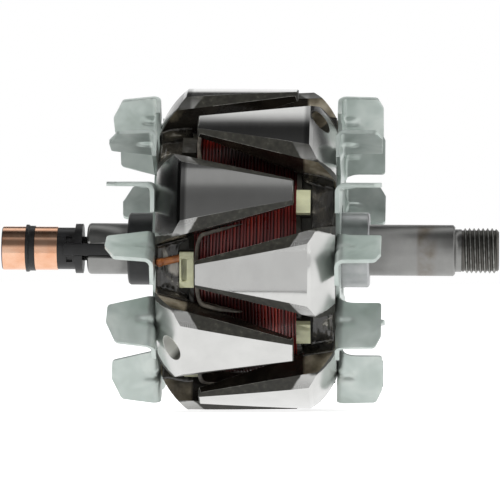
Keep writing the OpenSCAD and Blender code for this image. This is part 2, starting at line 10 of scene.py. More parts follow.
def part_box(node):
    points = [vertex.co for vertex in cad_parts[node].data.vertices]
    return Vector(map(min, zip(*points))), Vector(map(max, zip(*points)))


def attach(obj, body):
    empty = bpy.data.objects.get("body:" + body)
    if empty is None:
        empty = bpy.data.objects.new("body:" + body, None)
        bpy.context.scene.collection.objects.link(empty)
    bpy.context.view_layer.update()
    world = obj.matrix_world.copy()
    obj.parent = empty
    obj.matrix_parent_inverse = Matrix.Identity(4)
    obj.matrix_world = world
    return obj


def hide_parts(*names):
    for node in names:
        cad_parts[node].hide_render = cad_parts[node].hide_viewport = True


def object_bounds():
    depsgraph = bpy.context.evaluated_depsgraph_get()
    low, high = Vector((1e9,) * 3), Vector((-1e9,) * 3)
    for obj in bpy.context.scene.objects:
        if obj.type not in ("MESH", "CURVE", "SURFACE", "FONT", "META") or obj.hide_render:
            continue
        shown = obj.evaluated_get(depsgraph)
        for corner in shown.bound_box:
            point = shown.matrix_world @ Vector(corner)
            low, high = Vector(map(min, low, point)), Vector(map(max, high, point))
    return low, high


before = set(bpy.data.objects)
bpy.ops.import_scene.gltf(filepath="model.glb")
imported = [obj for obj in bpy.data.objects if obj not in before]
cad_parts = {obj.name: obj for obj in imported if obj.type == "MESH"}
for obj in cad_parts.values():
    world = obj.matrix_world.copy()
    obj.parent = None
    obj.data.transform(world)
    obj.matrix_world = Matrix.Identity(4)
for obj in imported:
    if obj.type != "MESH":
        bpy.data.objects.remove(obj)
cad_low, cad_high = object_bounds()

# Shaft
# A stepped steel shaft, turned from bar, with two ground bearing seats and a thread for the
# pulley's nut. Poles, collar and spacer are pressed onto its middle.
mm = 0.001
weld_gap = 0.002 * mm
thread_start = 70.3 * mm
thread_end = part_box("shaft")[1].x
thread_pitch = 1.5 * mm
thread_crest_radius = 7.5 * mm
thread_root_radius = 6.75 * mm
thread_neck_radius = 7.1 * mm
thread_end_radius = 6.3 * mm
thread_run_in = 1.2 * mm
thread_sides = 96
thread_rows_per_turn = 16
centre_mouth_radius = 2.5 * mm
centre_point_radius = 0.01 * mm
centre_depth = 4.3 * mm


def grid_mesh(name, rows, closed):
    """A smooth mesh over rows of points; closed joins the end of each row to its start."""
    columns = len(rows[0])
    last = columns if closed else columns - 1
    faces = []
    for row in range(len(rows) - 1):
        for column in range(last):
            here = row * columns + column
            beside = row * columns + (column + 1) % columns
            faces.append((here, beside, beside + columns, here + columns))
    mesh = bpy.data.meshes.new(name)
    mesh.from_pydata([point for row in rows for point in row], [], faces)
    mesh.shade_smooth()
    return mesh


def around_shaft(x, radius, angle):
    """A point at a station, radius and angle about the shaft, from +Y towards +Z."""
    return Vector((x, radius * math.cos(angle), radius * math.sin(angle)))


def thread_radius(x, angle):
    """Radius of the thread: slanting flanks, flat crests, a run-in and a chamfered end."""
    crest_half_width = 1 / 16
    flank_foot = 3 / 8
    turn = ((x - thread_start) / thread_pitch - angle / math.tau) % 1
    from_crest = abs(turn - 0.5)
    rise = min(max((flank_foot - from_crest) / (flank_foot - crest_half_width), 0), 1)
    rise *= min((x - thread_start) / thread_run_in, 1)
    radius = thread_root_radius + rise * (thread_crest_radius - thread_root_radius)
    return min(radius, thread_end_radius + thread_end - x)


def thread_mesh():
    """The threaded end with its run-out, its end face and the drilled centre."""
    steps = round((thread_end - thread_start) / thread_pitch * thread_rows_per_turn)
    angles = [math.tau * side / thread_sides for side in range(thread_sides)]
    rows = [[around_shaft(thread_start, thread_neck_radius, angle) for angle in angles]]
    for step in range(steps + 1):
        x = thread_start + (thread_end - thread_start) * step / steps
        rows.append([around_shaft(x, thread_radius(x, angle), angle) for angle in angles])
    centre_bottom = thread_end - centre_depth
    for x, radius in ((thread_end, centre_mouth_radius), (centre_bottom, centre_point_radius)):
        rows.append([around_shaft(x, radius, angle) for angle in angles])
    mesh = grid_mesh("rolled_thread", rows, True)
    mesh.set_sharp_from_angle(angle=math.radians(50))
    return mesh


def shaft_mesh():
    """The shaft's solid up to its thread."""
    shape = bmesh.new()
    shape.from_mesh(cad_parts["shaft"].data)
    bmesh.ops.remove_doubles(shape, verts=shape.verts, dist=weld_gap)
    whole = shape.verts[:] + shape.edges[:] + shape.faces[:]
    cut = Vector((thread_start, 0, 0))
    bmesh.ops.bisect_plane(shape, geom=whole, plane_co=cut, plane_no=(1, 0, 0), clear_outer=True)
    mesh = bpy.data.meshes.new("stepped_shaft")
    shape.to_mesh(mesh)
    shape.free()
    mesh.shade_smooth()
    mesh.set_sharp_from_angle(angle=math.radians(30))
    return mesh


def linear(colour):
    """An sRGB hex colour as linear red, green, blue and alpha."""
    channels = [int(colour[place:place + 2], 16) / 255 for place in (1, 3, 5)]
    return [c / 12.92 if c <= 0.04045 else ((c + 0.055) / 1.055) ** 2.4 for c in channels] + [1]


def add_node(tree, kind, inputs=None, stops=None, **settings):
    """Adds a shader node; an input is a value, socket or node, stops are a ramp's hex colours."""
    made = tree.nodes.new("ShaderNode" + kind)
    for name, value in settings.items():
        setattr(made, name, value)
    for name, value in (inputs or {}).items():
        if isinstance(value, bpy.types.Node):
            value = next(result for result in value.outputs if result.enabled)
        if isinstance(value, bpy.types.NodeSocket):
            tree.links.new(value, made.inputs[name])
        else:
            made.inputs[name].default_value = value
    if stops:
        ramp = made.color_ramp.elements
        ramp.remove(ramp[1])
        for position, colour in stops.items():
            ramp.new(position).color = linear(colour)
        ramp.remove(ramp[0])
    return made


def new_material(name):
    """An empty material, what adds nodes to it, and the position on the rotor in metres."""
    material = bpy.data.materials.new(name)
    material.use_nodes = True
    material.node_tree.nodes.clear()
    add = partial(add_node, material.node_tree)
    return material, add, add("TexCoord").outputs["Object"]


def add_piece(name, mesh, material, slot, *nodes):
    """Puts a piece on the rotor in place of CAD nodes."""
    piece = bpy.data.objects.new(name, mesh)
    bpy.context.scene.collection.objects.link(piece)
    piece.data.materials.append(material)
    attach(piece, "root")
    if nodes:
        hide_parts(*nodes)
    return piece


# A noise drawn out a hundred times along Y and Z gives lines around the shaft, as from a lathe.
lathe_stretch = (1, 0.01, 0.01)


def ground_steel():
    """Ground and oiled steel: fine lines around the shaft, grey sheen and a brown storage stain."""
    line_width = 0.35 * mm
    smudge_width = 6 * mm
    material, add, place = new_material("ground_steel")
    along = add("VectorMath", {0: place, 1: lathe_stretch}, operation="MULTIPLY")
    lines = add("TexNoise", {"Vector": along, "Scale": 1 / line_width, "Detail": 3})
    smudges = add("TexNoise", {"Vector": place, "Scale": 1 / smudge_width, "Detail": 4})
    split = add("SeparateXYZ", {0: place})
    stain_from = add("MapRange", {
        "Value": split.outputs["X"], "From Min": 55.2 * mm, "From Max": 56.2 * mm})
    stain_to = add("MapRange", {
        "Value": split.outputs["X"], "From Min": 60 * mm, "From Max": 63 * mm, "To Min": 1, "To Max": 0})
    stain_band = add("Math", {0: stain_from, 1: stain_to}, operation="MULTIPLY")
    blotches = add("MapRange", {"Value": smudges, "From Min": 0.38, "From Max": 0.7, "To Max": 0.8})
    stain = add("Math", {0: stain_band, 1: blotches}, operation="MULTIPLY")
    grey = add("ValToRGB", {"Fac": smudges}, stops={0.3: "#8f8f8d", 0.7: "#9c9c9a"})
    colour = add("Mix", {0: stain, 6: grey, 7: linear("#6a5d4c")}, data_type="RGBA")
    gloss = add("MapRange", {
        "Value": lines, "From Min": 0.3, "From Max": 0.7, "To Min": 0.34, "To Max": 0.4})
    relief = add("Bump", {"Height": lines, "Strength": 0.02, "Distance": 0.02 * mm})
    surface = add("BsdfPrincipled", {
        "Base Color": colour, "Metallic": 1, "Roughness": gloss, "Normal": relief})
    add("OutputMaterial", {"Surface": surface})
    return material


def oiled_thread_steel():
    """Rolled thread: bright worn crests over dark, oily roots."""
    oil_patch = 1.5 * mm
    material, add, place = new_material("oiled_thread_steel")
    across = add("VectorMath", {0: place, 1: (0, 1, 1)}, operation="MULTIPLY")
    radius = add("VectorMath", {0: across}, operation="LENGTH")
    oil = add("TexNoise", {"Vector": place, "Scale": 1 / oil_patch, "Detail": 4})
    crest = add("MapRange", {
        "Value": radius, "From Min": thread_root_radius, "From Max": thread_crest_radius})
    worn = add("Math", {0: crest, 1: oil, 2: -0.12}, operation="MULTIPLY_ADD")
    colour = add("ValToRGB", {"Fac": worn}, stops={0.1: "#6a6864", 0.45: "#a9a9a5"})
    relief = add("Bump", {"Height": oil, "Strength": 0.1, "Distance": 0.05 * mm})
    surface = add("BsdfPrincipled", {
        "Base Color": colour, "Metallic": 1, "Roughness": 0.42, "Normal": relief})
    add("OutputMaterial", {"Surface": surface})
    return material


add_piece("stepped_shaft", shaft_mesh(), ground_steel(), "ground_steel", "shaft")
add_piece("rolled_thread", thread_mesh(), oiled_thread_steel(), "ground_steel")

# Bobbin
# One moulding of natural nylon: a tube, two flanges and lugs that key it between the claw roots.
# It is slid onto the core, and its lugs show at the ends of the coil's windows.


def soften_edges(node, width):
    """Breaks a CAD node's sharp edges with a small round and keeps its flat faces flat."""
    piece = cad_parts[node]
    weld = piece.modifiers.new("weld", "WELD")
    weld.merge_threshold = weld_gap
    flat = piece.modifiers.new("flat_faces", "DECIMATE")
    flat.decimate_type = "DISSOLVE"
    flat.angle_limit = math.radians(0.6)
    edge = piece.modifiers.new("broken_edges", "BEVEL")
    edge.width = width
    edge.segments = 2
    edge.limit_method = "ANGLE"
    edge.angle_limit = math.radians(28)
    edge.use_clamp_overlap = True
    smooth = piece.modifiers.new("even_shading", "WEIGHTED_NORMAL")
    smooth.keep_sharp = True


def dress(node, material):
    """Gives a CAD node its finish."""
    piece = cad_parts[node]
    piece.data.materials.clear()
    piece.data.materials.append(material)


def natural_nylon():
    """Moulded natural nylon: waxy cream lugs with faint flow marks, flanges soaked with varnish, upper
    lugs at the slip ring end darkened by painted shade and varnish.
    """
    flow_mark = 5 * mm
    mould_grain = 0.4 * mm
    material, add, place = new_material("natural_nylon")
    flow = add("TexNoise", {"Vector": place, "Scale": 1 / flow_mark, "Detail": 3})
    grain = add("TexNoise", {"Vector": place, "Scale": 1 / mould_grain, "Detail": 2})
    cream = add("ValToRGB", {"Fac": flow}, stops={0.3: "#bcbd9c", 0.7: "#d0d1ad"})
    across = add("VectorMath", {0: place, 1: (0, 1, 1)}, operation="MULTIPLY")
    radius = add("VectorMath", {0: across}, operation="LENGTH")
    soaked = add("MapRange", {"Value": radius, "From Min": 42.3 * mm, "From Max": 41.9 * mm})
    # Painted shade, together with varnish, darkens the upper lugs at the slip ring end.
    split = add("SeparateXYZ", {0: place})
    slip_end = add("Math", {0: split.outputs["X"], 1: 0}, operation="LESS_THAN")
    upper = add("MapRange", {"Value": split.outputs["Z"], "From Min": 20 * mm, "From Max": 28 * mm})
    upper_lug_shade_and_varnish = add("Math", {0: slip_end, 1: upper}, operation="MULTIPLY")
    resin = add("Math", {0: soaked, 1: upper_lug_shade_and_varnish}, operation="MAXIMUM")
    colour = add("Mix", {0: resin, 6: cream, 7: linear("#2e2c26")}, data_type="RGBA")
    relief = add("Bump", {"Height": grain, "Strength": 0.1, "Distance": 0.05 * mm})
    surface = add("BsdfPrincipled", {
        "Base Color": colour, "Roughness": 0.42, "IOR": 1.53, "Normal": relief,
        "Subsurface Weight": 0.12, "Subsurface Radius": (1, 0.9, 0.6), "Subsurface Scale": 0.8 * mm})
    add("OutputMaterial", {"Surface": surface})
    return material


soften_edges("coil_bobbin", 0.3 * mm)
dress("coil_bobbin", natural_nylon())

# Field winding
# Red enamelled copper wire, wound turn beside turn on the bobbin and soaked with varnish.
# Its outer layer shows through the windows between the claws.
wire_pitch = 1.1 * mm
wire_radius = wire_pitch / 2
wire_slopes = [math.radians(slope) for slope in (-80, -50, -25, 0, 25, 50, 80)]
wire_wander = 0.3
wire_sink = 0.15 * mm
winding_sides = 180
winding_low, winding_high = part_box("field_winding")
winding_radius = winding_high.z
winding_inner_radius = 26 * mm


def winding_mesh():
    """The outer layer as a helix of round wires, with the sides of the coil below it."""
    turns = round(2 * winding_high.x / wire_pitch)
    angles = [math.tau * side / winding_sides for side in range(winding_sides + 1)]
    rows = [[around_shaft(winding_low.x, winding_inner_radius, angle) for angle in angles]]
    for turn in range(-1, turns + 1):
        for slope in wire_slopes:
            row = []
            for angle in angles:
                centre = winding_low.x + (turn + 0.5 + angle / math.tau) * wire_pitch
                lie = noise.noise(Vector((turn * 7.3, 3 * math.cos(angle), 3 * math.sin(angle))))
                x = centre + wire_radius * (math.sin(slope) + wire_wander * lie)
                x = min(max(x, winding_low.x), winding_high.x)
                lift = wire_radius * (math.cos(slope) - 1)
                sink = wire_sink * (1 + noise.noise(Vector((turn * 3.1, 2 * math.cos(angle), 5))))
                row.append(around_shaft(x, winding_radius + lift - sink, angle))
            rows.append(row)
    rows.append([around_shaft(winding_high.x, winding_inner_radius, angle) for angle in angles])
    return grid_mesh("wound_wire", rows, False)


def enamelled_copper():
    """Copper wire under clear red enamel: deep red with a painted highlight on each wire's crown, painted
    shade between turns and over the upper windows, and darker lower windows.
    """
    turn_tint = 1.6 * mm
    blotch_width = 4 * mm
    material, add, place = new_material("enamelled_copper")
    along = add("VectorMath", {0: place, 1: (1, 0.03, 0.03)}, operation="MULTIPLY")
    turns = add("TexNoise", {"Vector": along, "Scale": 1 / turn_tint, "Detail": 1})
    blotches = add("TexNoise", {"Vector": place, "Scale": 1 / blotch_width, "Detail": 4})
    across = add("VectorMath", {0: place, 1: (0, 1, 1)}, operation="MULTIPLY")
    radius = add("VectorMath", {0: across}, operation="LENGTH")
    # Each wire's crown is painted lighter as a highlight, and the gaps between turns are painted darker as
    # shade.
    painted_crown_highlight = add("MapRange", {
        "Value": radius, "From Min": winding_radius - 0.6 * mm, "From Max": winding_radius - 0.1 * mm})
    painted_light_on_wires = add("Math", {0: turns, 1: painted_crown_highlight}, operation="MULTIPLY")
    # Painted shade darkens the upper windows, least at the slip ring end; the lower windows are darker
    # too, except towards the drive end.
    split = add("SeparateXYZ", {0: place})
    upper = add("MapRange", {"Value": split.outputs["Z"], "From Min": 17 * mm, "From Max": 23 * mm})
    top_shade_strength = add("MapRange", {
        "Value": split.outputs["X"], "From Min": -14 * mm, "From Max": -4 * mm,
        "To Min": 0.35, "To Max": 0.9})
    painted_top_shade = add("Math", {0: upper, 1: top_shade_strength}, operation="MULTIPLY")
    lower = add("MapRange", {"Value": split.outputs["Z"], "From Min": -12 * mm, "From Max": -16 * mm})
    lower_darkening_strength = add("MapRange", {
        "Value": split.outputs["X"], "From Min": 9 * mm, "From Max": 2 * mm, "To Max": 0.85})
    lower_darkening = add("Math", {0: lower, 1: lower_darkening_strength}, operation="MULTIPLY")
    varnish_and_shade = add("Math", {0: painted_top_shade, 1: lower_darkening}, operation="MAXIMUM")
    enamel_with_painted_light = add("ValToRGB", {"Fac": painted_light_on_wires}, stops={0.05: "#330807", 0.4: "#701511", 0.7: "#a3301f"})
    colour = add("Mix", {0: varnish_and_shade, 6: enamel_with_painted_light, 7: linear("#120908")}, data_type="RGBA")
    gloss = add("MapRange", {
        "Value": blotches, "From Min": 0.35, "From Max": 0.65, "To Min": 0.25, "To Max": 0.5})
    shine = add("MapRange", {"Value": varnish_and_shade, "To Min": 0.5, "To Max": 0.05})
    surface = add("BsdfPrincipled", {
        "Base Color": colour, "Metallic": 0.15, "Roughness": gloss, "Specular IOR Level": shine,
        "Coat Weight": shine, "Coat Roughness": 0.12, "Coat IOR": 1.55})
    add("OutputMaterial", {"Surface": surface})
    return material


add_piece("wound_wire", winding_mesh(), enamelled_copper(), "enamelled_copper", "field_winding")

# Window liners
# Varnished paper that lines the slip ring end of the windows, between the coil and the claws.
# Each stands up around the end of a window, has a folded lip and tapers off along both claws.
pole_radius = 53.5 * mm
claws = 6
claw_pitch = 360 / claws
half_pitch = math.radians(claw_pitch / 2)
slip_claw_angle = 39
drive_claw_angle = 9
claw_tip_station = -16 * mm
claw_tip_half_width = 4.7 * mm
# Half of a claw widens by this share of the way from its tip.
claw_slope = 0.2892
claw_draft = math.radians(15)
liner_stations = [station * mm for station in (1, 6, 11, 16.3)]
liner_foot_radius = 41 * mm
liner_radius = 45 * mm
liner_width = 1.1 * mm
liner_lip = 0.6 * mm
liner_clearance = 0.1 * mm
liner_gauge = 0.25 * mm


def liner_rows(valley):
    """Points of one strip, from its foot over its lip and along the end of one window."""
    corners = []
    for station in liner_stations:
        half_width = claw_tip_half_width + (station - claw_tip_station) * claw_slope
        half_width -= (pole_radius - liner_radius) * math.tan(claw_draft)
        aside = liner_radius * (half_pitch - math.asin(half_width / liner_radius)) - liner_clearance
        corners.append(Vector((aside, station)))
    corners += [Vector((-corner.x, corner.y)) for corner in reversed(corners)]
    for smoothing in range(4):
        rounded = [corners[0]]
        for here, ahead in zip(corners, corners[1:]):
            rounded += [here * 0.75 + ahead * 0.25, here * 0.25 + ahead * 0.75]
        corners = rounded + [corners[-1]]
    rows = []
    for step, point in enumerate(corners):
        run = corners[min(step + 1, len(corners) - 1)] - corners[max(step - 1, 0)]
        inward = Vector((-run.y, run.x)).normalized()
        share = step / (len(corners) - 1)
        taper = min(1, 4 * min(share, 1 - share))
        waver = 1 + 0.25 * noise.noise(Vector((step * 0.15, valley, -1)))
        height = (liner_radius - liner_foot_radius) * taper
        row = [around_shaft(-point.y, liner_foot_radius, math.radians(valley) + point.x / liner_radius)]
        for across in (0, 0.3, 0.6, 1):
            spot = point + inward * liner_width * waver * taper * across
            radius = liner_foot_radius + height - liner_lip * across * taper
            row.append(around_shaft(-spot.y, radius, math.radians(valley) + spot.x / liner_radius))
        rows.append(row)
    return rows


def join_meshes(name, meshes):
    """One smooth mesh out of several."""
    joined = bmesh.new()
    for mesh in meshes:
        joined.from_mesh(mesh)
    bmesh.ops.remove_doubles(joined, verts=joined.verts, dist=0.005 * mm)
    whole = bpy.data.meshes.new(name)
    joined.to_mesh(whole)
    joined.free()
    whole.shade_smooth()
    return whole


def thicken(piece, gauge):
    """Gives a sheet its thickness, half to each side."""
    sheet = piece.modifiers.new("gauge", "SOLIDIFY")
    sheet.thickness = gauge
    sheet.offset = 0


def varnished_paper():
    """Insulating paper under old varnish: dull grey brown with darker soaked spots."""
    soaked_spot = 2.5 * mm
    material, add, place = new_material("varnished_paper")
    soak = add("TexNoise", {"Vector": place, "Scale": 1 / soaked_spot, "Detail": 4})
    colour = add("ValToRGB", {"Fac": soak}, stops={0.3: "#332f29", 0.5: "#544e45", 0.7: "#6f685d"})
    relief = add("Bump", {"Height": soak, "Strength": 0.3, "Distance": 0.1 * mm})
    surface = add("BsdfPrincipled", {
        "Base Color": colour, "Roughness": 0.5, "IOR": 1.5, "Normal": relief})
    add("OutputMaterial", {"Surface": surface})
    return material


strips = []
for window in range(claws):
    strips.append(grid_mesh("strip", liner_rows(drive_claw_angle + claw_pitch * window), False))
liners = add_piece(
    "window_liners", join_meshes("window_liners", strips), varnished_paper(), "resin_soaked_film")
thicken(liners, liner_gauge)

# Claw poles
# Two forged steel poles pressed onto the shaft from both sides, so that their claws mesh over the
# coil. Only the outside is turned bright; bevels, flanks and valleys keep a coat of dark varnish.
drive_pole_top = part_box("drive_end_pole")[1].z
shoulder_station = 19 * mm
root_station = 14.5 * mm
drilling_reach = 4.9 * mm
fresh_drilling = around_shaft(-22.5 * mm, 48.7 * mm, math.radians(220))
varnished_drilling = around_shaft(22.5 * mm, 48.7 * mm, math.radians(122.9))


def forged_pole_steel():
    """Turned steel where it was cut and drilled; varnish and speckled bevels elsewhere, with a painted
    highlight along the bevels' edges.
    """
    speckle_width = 1.6 * mm
    line_width = 0.25 * mm
    patch_width = 9 * mm
    material, add, place = new_material("forged_pole_steel")
    speckle = add("TexNoise", {"Vector": place, "Scale": 1 / speckle_width, "Detail": 4})
    along = add("VectorMath", {0: place, 1: (1, 0.006, 0.006)}, operation="MULTIPLY")
    lines = add("TexNoise", {"Vector": along, "Scale": 1 / line_width, "Detail": 2})
    patches = add("TexNoise", {"Vector": place, "Scale": 1 / patch_width, "Detail": 5})

    # Where a point lies on the pole, and which way its face looks
    shape = add("NewGeometry")
    across = add("VectorMath", {0: place, 1: (0, 1, 1)}, operation="MULTIPLY")
    outward = add("VectorMath", {0: across}, operation="NORMALIZE")
    sideways = add("VectorMath", {0: outward, 1: (1, 0, 0)}, operation="CROSS_PRODUCT")
    radius = add("VectorMath", {0: across}, operation="LENGTH")
    split = add("SeparateXYZ", {0: place})
    from_middle = add("Math", {0: split.outputs["X"]}, operation="ABSOLUTE")
    facing_side = add("VectorMath", {
        0: shape.outputs["True Normal"], 1: sideways}, operation="DOT_PRODUCT")
    side_amount = add("Math", {0: facing_side}, operation="ABSOLUTE")
    facing_out = add("VectorMath", {
        0: shape.outputs["True Normal"], 1: outward}, operation="DOT_PRODUCT")
    on_shoulder = add("MapRange", {
        "Value": from_middle, "From Min": shoulder_station - 0.5 * mm,
        "From Max": shoulder_station + 0.5 * mm})
    slip_end = add("Math", {0: split.outputs["X"], 1: 0}, operation="LESS_THAN")

    # The claws' turned outside
    not_side = add("MapRange", {"Value": side_amount, "From Min": 0.45, "From Max": 0.38})
    on_claw = add("Math", {0: 1, 1: on_shoulder}, operation="SUBTRACT")
    claw_outside = add("Math", {0: on_claw, 1: not_side}, operation="MULTIPLY")

    # The claws' roots, turned in a ragged line that widens towards the shoulder
    claw_angle = add("MapRange", {
        "Value": slip_end, "To Min": math.radians(drive_claw_angle),
        "To Max": math.radians(slip_claw_angle)})
    turn = add("Math", {0: split.outputs["Z"], 1: split.outputs["Y"]}, operation="ARCTAN2")
    turned_by = add("Math", {0: turn, 1: claw_angle}, operation="SUBTRACT")
    beside_claw = add("Math", {0: turned_by, 1: half_pitch, 2: -half_pitch}, operation="WRAP")
    from_claw = add("Math", {0: beside_claw}, operation="ABSOLUTE")
    root_reach = add("MapRange", {
        "Value": from_middle, "From Min": root_station, "From Max": shoulder_station - 0.5 * mm,
        "To Min": math.radians(9), "To Max": math.radians(15.8)})
    ragged = add("MapRange", {
        "Value": speckle, "From Min": 0.3, "From Max": 0.7,
        "To Min": math.radians(-0.3), "To Max": math.radians(0.3)})
    ragged_reach = add("Math", {0: root_reach, 1: ragged}, operation="ADD")
    past_root = add("Math", {0: from_claw, 1: ragged_reach}, operation="SUBTRACT")
    within_root = add("MapRange", {
        "Value": past_root, "From Min": math.radians(0.5), "From Max": math.radians(-0.5)})
    near_root = add("Math", {0: from_middle, 1: root_station}, operation="GREATER_THAN")
    root_zone = add("Math", {0: within_root, 1: near_root}, operation="MULTIPLY")
    bevel_share = add("MapRange", {
        "Value": split.outputs["Z"], "From Min": 10 * mm, "From Max": 14 * mm,
        "To Min": 0.6, "To Max": 0.1})
    bare_share = add("MapRange", {
        "Value": side_amount, "From Min": 0.42, "From Max": 0.55, "To Min": 1, "To Max": bevel_share})
    root_outside = add("Math", {0: root_zone, 1: bare_share}, operation="MULTIPLY")

    # All that was cut bright: the outside, and one drilling but not the older, varnished one
    outside = add("Math", {0: claw_outside, 1: root_outside}, operation="MAXIMUM")
    least_out = add("MapRange", {"Value": root_zone, "To Min": 0.86, "To Max": 0.25})
    open_out = add("Math", {0: facing_out, 1: least_out}, operation="GREATER_THAN")
    cut = add("Math", {0: open_out, 1: outside}, operation="MULTIPLY")
    high = add("Math", {0: radius, 1: 41.5 * mm}, operation="GREATER_THAN")
    turned_off = add("Math", {0: cut, 1: high}, operation="MULTIPLY")
    apart = add("VectorMath", {0: place, 1: fresh_drilling}, operation="DISTANCE")
    drilled = add("Math", {0: apart, 1: drilling_reach}, operation="LESS_THAN")
    from_old = add("VectorMath", {0: place, 1: varnished_drilling}, operation="DISTANCE")
    outside_old = add("Math", {0: from_old, 1: drilling_reach}, operation="GREATER_THAN")
    fresh = add("Math", {0: turned_off, 1: drilled}, operation="MAXIMUM")
    bright = add("Math", {0: fresh, 1: outside_old}, operation="MULTIPLY")

    # Bare steel, with a painted dark reflection on the upper shoulders and painted shade in the drilling
    steel = add("ValToRGB", {"Fac": patches}, stops={0.3: "#d0d0ce", 0.7: "#d9d9d7"})
    upper = add("MapRange", {"Value": split.outputs["Z"], "From Min": 3 * mm, "From Max": 9 * mm})
    from_fan = add("MapRange", {"Value": from_middle, "From Min": 28.5 * mm, "From Max": 24.5 * mm})
    slip_upper = add("Math", {0: upper, 1: slip_end}, operation="MULTIPLY")
    top = add("MapRange", {
        "Value": split.outputs["Z"], "From Min": 25 * mm, "From Max": 36 * mm, "To Max": 0.75})
    painted_reflection_reach = add("Math", {0: slip_upper, 1: top}, operation="MAXIMUM")
    upper_shoulder = add("Math", {0: on_shoulder, 1: painted_reflection_reach}, operation="MULTIPLY")
    painted_dark_reflection = add("Math", {0: upper_shoulder, 1: from_fan}, operation="MULTIPLY")
    steel_with_painted_reflection = add("Mix", {0: painted_dark_reflection, 6: steel, 7: linear("#828281")}, data_type="RGBA")
    # The drilling's far wall is painted darker as shade and its near side lighter as light.
    in_drilling = add("VectorMath", {0: place, 1: fresh_drilling}, operation="SUBTRACT")
    far_wall = add("VectorMath", {0: in_drilling, 1: (0.7, 0, -0.7)}, operation="DOT_PRODUCT")
    wall_share = add("MapRange", {"Value": far_wall, "From Min": 0.4 * mm, "From Max": 2.6 * mm})
    painted_drilling_shade = add("Mix", {0: wall_share, 6: linear("#efefea"), 7: linear("#55544f")}, data_type="RGBA")
    bare = add("Mix", {0: drilled, 6: steel_with_painted_reflection, 7: painted_drilling_shade}, data_type="RGBA")

    # Varnish: black on the flanks, smeared on the shoulders, speckled on the bevels. The smear is painted
    # darker on the slip ring end's upper side as shade and lighter elsewhere as light.
    flank = add("ValToRGB", {"Fac": patches}, stops={0.35: "#14110f", 0.7: "#302b24"})
    lit_smear = add("ValToRGB", {"Fac": patches}, stops={
        0.35: "#4a4439", 0.52: "#837a68", 0.66: "#bab19f"})
    shaded_smear = add("ValToRGB", {"Fac": patches}, stops={
        0.35: "#110f0c", 0.52: "#24211b", 0.66: "#5f5849"})
    smear_with_painted_shade = add("Mix", {0: slip_upper, 6: lit_smear, 7: shaded_smear}, data_type="RGBA")
    bevel = add("ValToRGB", {"Fac": speckle}, stops={0.35: "#292823", 0.6: "#37362f", 0.75: "#504e46"})
    varnish_and_shade = add("Mix", {0: on_shoulder, 6: flank, 7: smear_with_painted_shade}, data_type="RGBA")
    on_bevel = add("MapRange", {"Value": side_amount, "From Min": 0.76, "From Max": 0.72})
    bevelled = add("Mix", {0: on_bevel, 6: varnish_and_shade, 7: bevel}, data_type="RGBA")
    # A light line along the bevels' outer edges is a painted highlight.
    edge_near = add("Math", {0: side_amount, 1: 0.82, 2: 0.09}, operation="COMPARE")
    edge_open = add("Math", {0: edge_near, 1: outside_old}, operation="MULTIPLY")
    painted_edge_highlight = add("Math", {0: edge_open, 1: speckle}, operation="MULTIPLY")
    edge_highlighted = add("Mix", {0: painted_edge_highlight, 6: bevelled, 7: linear("#c9c8c0")}, data_type="RGBA")
    colour = add("Mix", {0: bright, 6: edge_highlighted, 7: bare}, data_type="RGBA")

    # Metal, gloss and relief
    most_metal = add("MapRange", {"Value": drilled, "To Min": 1, "To Max": 0.35})
    metal = add("MapRange", {"Value": bright, "To Min": 0.2, "To Max": most_metal})
    turned = add("MapRange", {
        "Value": radius, "From Min": drive_pole_top - 0.22 * mm,
        "From Max": drive_pole_top - 0.16 * mm})
    line_gloss = add("MapRange", {
        "Value": lines, "From Min": 0.3, "From Max": 0.7, "To Min": 0.08, "To Max": 0.13})
    bare_gloss = add("Mix", {0: turned, 2: 0.26, 3: line_gloss})
    cut_gloss = add("Mix", {0: drilled, 2: bare_gloss, 3: 0.4})
    coat_gloss = add("Mix", {0: on_bevel, 2: 0.24, 3: 0.5})
    gloss = add("Mix", {0: bright, 2: coat_gloss, 3: cut_gloss})
    crust = add("Math", {0: 1, 1: bright}, operation="SUBTRACT")
    lumps = add("Bump", {"Height": speckle, "Strength": crust, "Distance": 0.12 * mm})
    relief = add("Bump", {"Height": lines, "Strength": 0.06, "Distance": 0.02 * mm, "Normal": lumps})
    surface = add("BsdfPrincipled", {
        "Base Color": colour, "Metallic": metal, "Roughness": gloss, "Normal": relief})
    add("OutputMaterial", {"Surface": surface})
    return material


pole_steel = forged_pole_steel()
for pole in ("slip_ring_end_pole", "drive_end_pole"):
    soften_edges(pole, 0.25 * mm)
    dress(pole, pole_steel)

# Valley insulation
# Thin film pressed into the valleys between the claw roots and soaked with varnish.
# It lies on the valley floor, climbs both flanks and sets in creases.
valley_radius = 39 * mm
film_inner = 18.6 * mm
film_past_lug = 21.6 * mm
film_outer = 28.6 * mm
film_climb = 5.5 * mm
film_gauge = 0.2 * mm
film_clearance = 0.25 * mm
film_steps = 22
film_parts = 14
# Where one painted highlight lies on the film.
film_highlight_spot = Vector((-22.7, -39, -6.2)) * mm
# Each pole has its valleys where the other one has its claws.
valleys = (
    ("slip_ring_end_insulation", drive_claw_angle, -1),
    ("drive_end_insulation", slip_claw_angle, 1))


